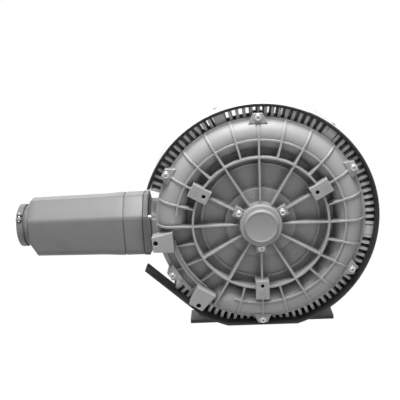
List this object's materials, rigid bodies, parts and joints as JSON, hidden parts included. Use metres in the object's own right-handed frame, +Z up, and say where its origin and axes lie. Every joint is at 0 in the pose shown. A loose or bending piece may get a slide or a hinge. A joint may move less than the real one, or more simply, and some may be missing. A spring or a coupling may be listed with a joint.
{
  "type": "side channel blower",
  "caption": "Side channel blower with a ribbed round cover, finned casing in a sheet cowl, flanged motor on a foot frame and a chamfered outlet silencer.",
  "frame": {"origin": "middle of the four foot bolt holes, on the floor under the foot frame", "axes": "+Z up, +Y along the shaft from the ribbed cover to the motor's fan, -X along the outlet silencer"},
  "size_m": [0.9379, 0.4937, 0.6],
  "materials": {
    "cast_aluminium": "satin",
    "motor_casting": "satin",
    "silver_sheet": "satin",
    "black_lining": "matte",
    "zinc_screws": "satin",
    "seal_rubber": "matte",
    "impeller_aluminium": "satin",
    "machined_steel": "satin",
    "core_steel": "matte",
    "winding": "gloss",
    "black_plastic": "matte",
    "black_sheet": "satin",
    "tube_steel": "satin",
    "foam": "matte"
  },
  "bodies": {
    "housing": {"cover": "cast_aluminium", "casing": "cast_aluminium", "bearing_cap": "cast_aluminium", "silencer_collar": "cast_aluminium", "silencer_body": "cast_aluminium", "silencer_port_flange": "cast_aluminium", "inlet_flange": "cast_aluminium", "motor_frame": "motor_casting", "end_shield": "motor_casting", "fan_cowl_lugs": "motor_casting", "terminal_box": "motor_casting", "terminal_box_lid": "motor_casting", "cowl_band": "silver_sheet", "cowl_liner": "black_lining", "bearing_cap_screws": "zinc_screws", "cover_screws": "zinc_screws", "cowl_screws": "zinc_screws", "motor_screws": "zinc_screws", "fan_cowl_screws": "zinc_screws", "terminal_lid_screws": "zinc_screws", "silencer_screws": "zinc_screws", "inlet_screws": "zinc_screws", "foot_screws": "zinc_screws", "cover_seal": "seal_rubber", "front_shaft_seal": "seal_rubber", "rear_shaft_seal": "seal_rubber", "terminal_box_gasket": "seal_rubber", "silencer_gasket": "seal_rubber", "inlet_gasket": "seal_rubber", "front_bearing_outer": "machined_steel", "rear_bearing_outer": "machined_steel", "lifting_eye": "machined_steel", "stator_core": "core_steel", "windings": "winding", "terminal_board": "black_plastic", "cable_glands": "black_plastic", "fan_cowl": "black_sheet", "foot_frame": "black_sheet", "silencer_tube": "tube_steel", "silencer_lining": "foam"},
    "rotor": {"impeller": "impeller_aluminium", "shaft": "machined_steel", "impeller_key": "machined_steel", "bearing_spacer": "machined_steel", "shaft_nut": "machined_steel", "front_bearing_inner": "machined_steel", "rear_bearing_inner": "machined_steel", "motor_rotor": "core_steel", "fan": "black_plastic"},
    "front_cage": {"front_bearing_cage": "machined_steel"},
    "rear_cage": {"rear_bearing_cage": "machined_steel"}
  },
  "joints": [
    {"name": "rotor_spin", "type": "hinge", "parent": "housing", "child": "rotor", "pos_m": [0, -0.187, 0.3], "axis": [0, 1, 0], "continuous": true},
    {"name": "front_cage_spin", "type": "hinge", "parent": "housing", "child": "front_cage", "pos_m": [0, -0.211, 0.3], "axis": [0, 1, 0], "continuous": true},
    {"name": "rear_cage_spin", "type": "hinge", "parent": "housing", "child": "rear_cage", "pos_m": [0, 0.148, 0.3], "axis": [0, 1, 0], "continuous": true}
  ],
  "couplings": [
    {"joint": "front_cage_spin", "follows": "rotor_spin", "ratio": 0.4093},
    {"joint": "rear_cage_spin", "follows": "rotor_spin", "ratio": 0.4093}
  ]
}
